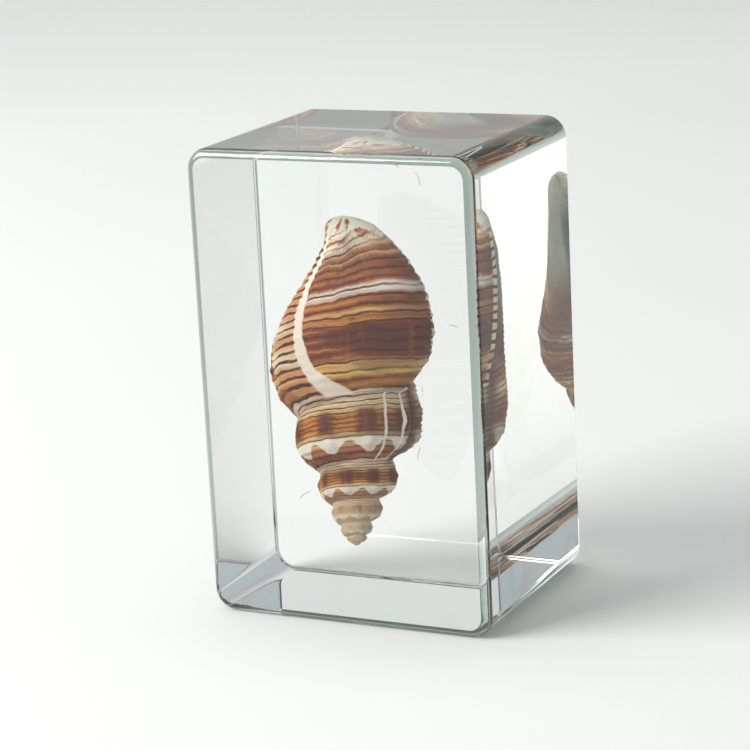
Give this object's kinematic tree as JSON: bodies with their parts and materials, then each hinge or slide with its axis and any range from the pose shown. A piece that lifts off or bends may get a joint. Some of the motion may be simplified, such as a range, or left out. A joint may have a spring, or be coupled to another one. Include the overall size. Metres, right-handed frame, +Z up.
{
  "type": "shell resin paperweight",
  "caption": "Upright block of clear cast resin with rounded edges, with a spiral sea shell sealed apex down inside it, used as a paperweight or display piece.",
  "frame": {"origin": "middle of the base that the block stands on", "axes": "+Z up along the block's height, +X across its wide front to the right, +Y from the front to the back; the front is -Y"},
  "size_m": [0.0384, 0.0306, 0.06],
  "materials": {
    "clear_resin": "polished, see-through",
    "shell_calcite": "satin, brown bands on cream"
  },
  "bodies": {
    "root": {"resin_front": "clear_resin", "resin_back": "clear_resin", "shell": "shell_calcite"}
  },
  "joints": []
}
